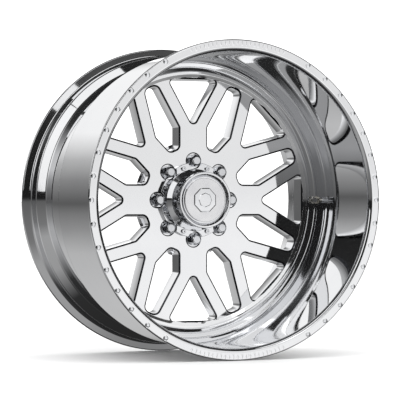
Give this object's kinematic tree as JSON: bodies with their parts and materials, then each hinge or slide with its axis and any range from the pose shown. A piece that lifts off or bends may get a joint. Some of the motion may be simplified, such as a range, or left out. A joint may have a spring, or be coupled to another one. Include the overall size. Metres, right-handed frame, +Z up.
{
  "type": "forged wheel rim",
  "caption": "Deep-lip forged two-piece wheel with eight split arms, closed lug nuts, bolted centre cap and clamp-in valve.",
  "frame": {"origin": "the wheel's centre, on its axis and midway between the two flanges", "axes": "+Y along the axle towards the vehicle, so the outer lip faces -Y; +Z up"},
  "size_m": [0.6494, 0.3816, 0.6494],
  "materials": {
    "polished_barrel": "mirror polished",
    "polished_centre": "mirror polished",
    "weld": "as welded",
    "chrome_hardware": "bright chrome",
    "chrome_nut": "bright chrome",
    "chrome_cap": "bright chrome",
    "chrome_plate": "bright chrome",
    "rubber": "matte",
    "spring_steel": "satin",
    "nickel_brass": "nickel plated",
    "brass": "machined"
  },
  "bodies": {
    "wheel": {"barrel": "polished_barrel", "forged_centre": "polished_centre", "centre_weld": "weld", "lip_rivets": "chrome_hardware", "cap_housing": "chrome_cap", "cap_oring": "rubber", "cap_bezel": "chrome_cap", "cap_emblem_plate": "chrome_plate", "cap_retaining_ring": "spring_steel", "cap_badge": "chrome_plate", "cap_screws": "chrome_hardware", "valve_stem": "nickel_brass", "valve_grommet": "rubber", "valve_washer": "nickel_brass", "valve_nut": "nickel_brass", "valve_core": "brass"},
    "lug_nut_1": {"lug_nut_1": "chrome_nut"},
    "lug_nut_2": {"lug_nut_2": "chrome_nut"},
    "lug_nut_3": {"lug_nut_3": "chrome_nut"},
    "lug_nut_4": {"lug_nut_4": "chrome_nut"},
    "lug_nut_5": {"lug_nut_5": "chrome_nut"},
    "lug_nut_6": {"lug_nut_6": "chrome_nut"},
    "lug_nut_7": {"lug_nut_7": "chrome_nut"},
    "lug_nut_8": {"lug_nut_8": "chrome_nut"},
    "valve_cap": {"valve_cap": "chrome_hardware"},
    "valve_pin": {"valve_pin": "brass", "valve_spring": "spring_steel"}
  },
  "joints": [
    {"name": "lug_nut_1_turn", "type": "hinge", "parent": "wheel", "child": "lug_nut_1", "pos_m": [0.08255, 0.03, 0], "axis": [0, -1, 0], "continuous": true},
    {"name": "lug_nut_2_turn", "type": "hinge", "parent": "wheel", "child": "lug_nut_2", "pos_m": [0.05837, 0.03, 0.05837], "axis": [0, -1, 0], "continuous": true},
    {"name": "lug_nut_3_turn", "type": "hinge", "parent": "wheel", "child": "lug_nut_3", "pos_m": [0, 0.03, 0.08255], "axis": [0, -1, 0], "continuous": true},
    {"name": "lug_nut_4_turn", "type": "hinge", "parent": "wheel", "child": "lug_nut_4", "pos_m": [-0.05837, 0.03, 0.05837], "axis": [0, -1, 0], "continuous": true},
    {"name": "lug_nut_5_turn", "type": "hinge", "parent": "wheel", "child": "lug_nut_5", "pos_m": [-0.08255, 0.03, 0], "axis": [0, -1, 0], "continuous": true},
    {"name": "lug_nut_6_turn", "type": "hinge", "parent": "wheel", "child": "lug_nut_6", "pos_m": [-0.05837, 0.03, -0.05837], "axis": [0, -1, 0], "continuous": true},
    {"name": "lug_nut_7_turn", "type": "hinge", "parent": "wheel", "child": "lug_nut_7", "pos_m": [0, 0.03, -0.08255], "axis": [0, -1, 0], "continuous": true},
    {"name": "lug_nut_8_turn", "type": "hinge", "parent": "wheel", "child": "lug_nut_8", "pos_m": [0.05837, 0.03, -0.05837], "axis": [0, -1, 0], "continuous": true},
    {"name": "valve_cap_turn", "type": "hinge", "parent": "wheel", "child": "valve_cap", "pos_m": [0.2922, 0.0326, 0], "axis": [-0.5736, -0.8192, 0], "continuous": true},
    {"name": "valve_pin_push", "type": "slide", "parent": "wheel", "child": "valve_pin", "axis": [0.5736, 0.8192, 0], "range_m": [0, 0.0015], "stiffness_N_per_m": 1500}
  ]
}
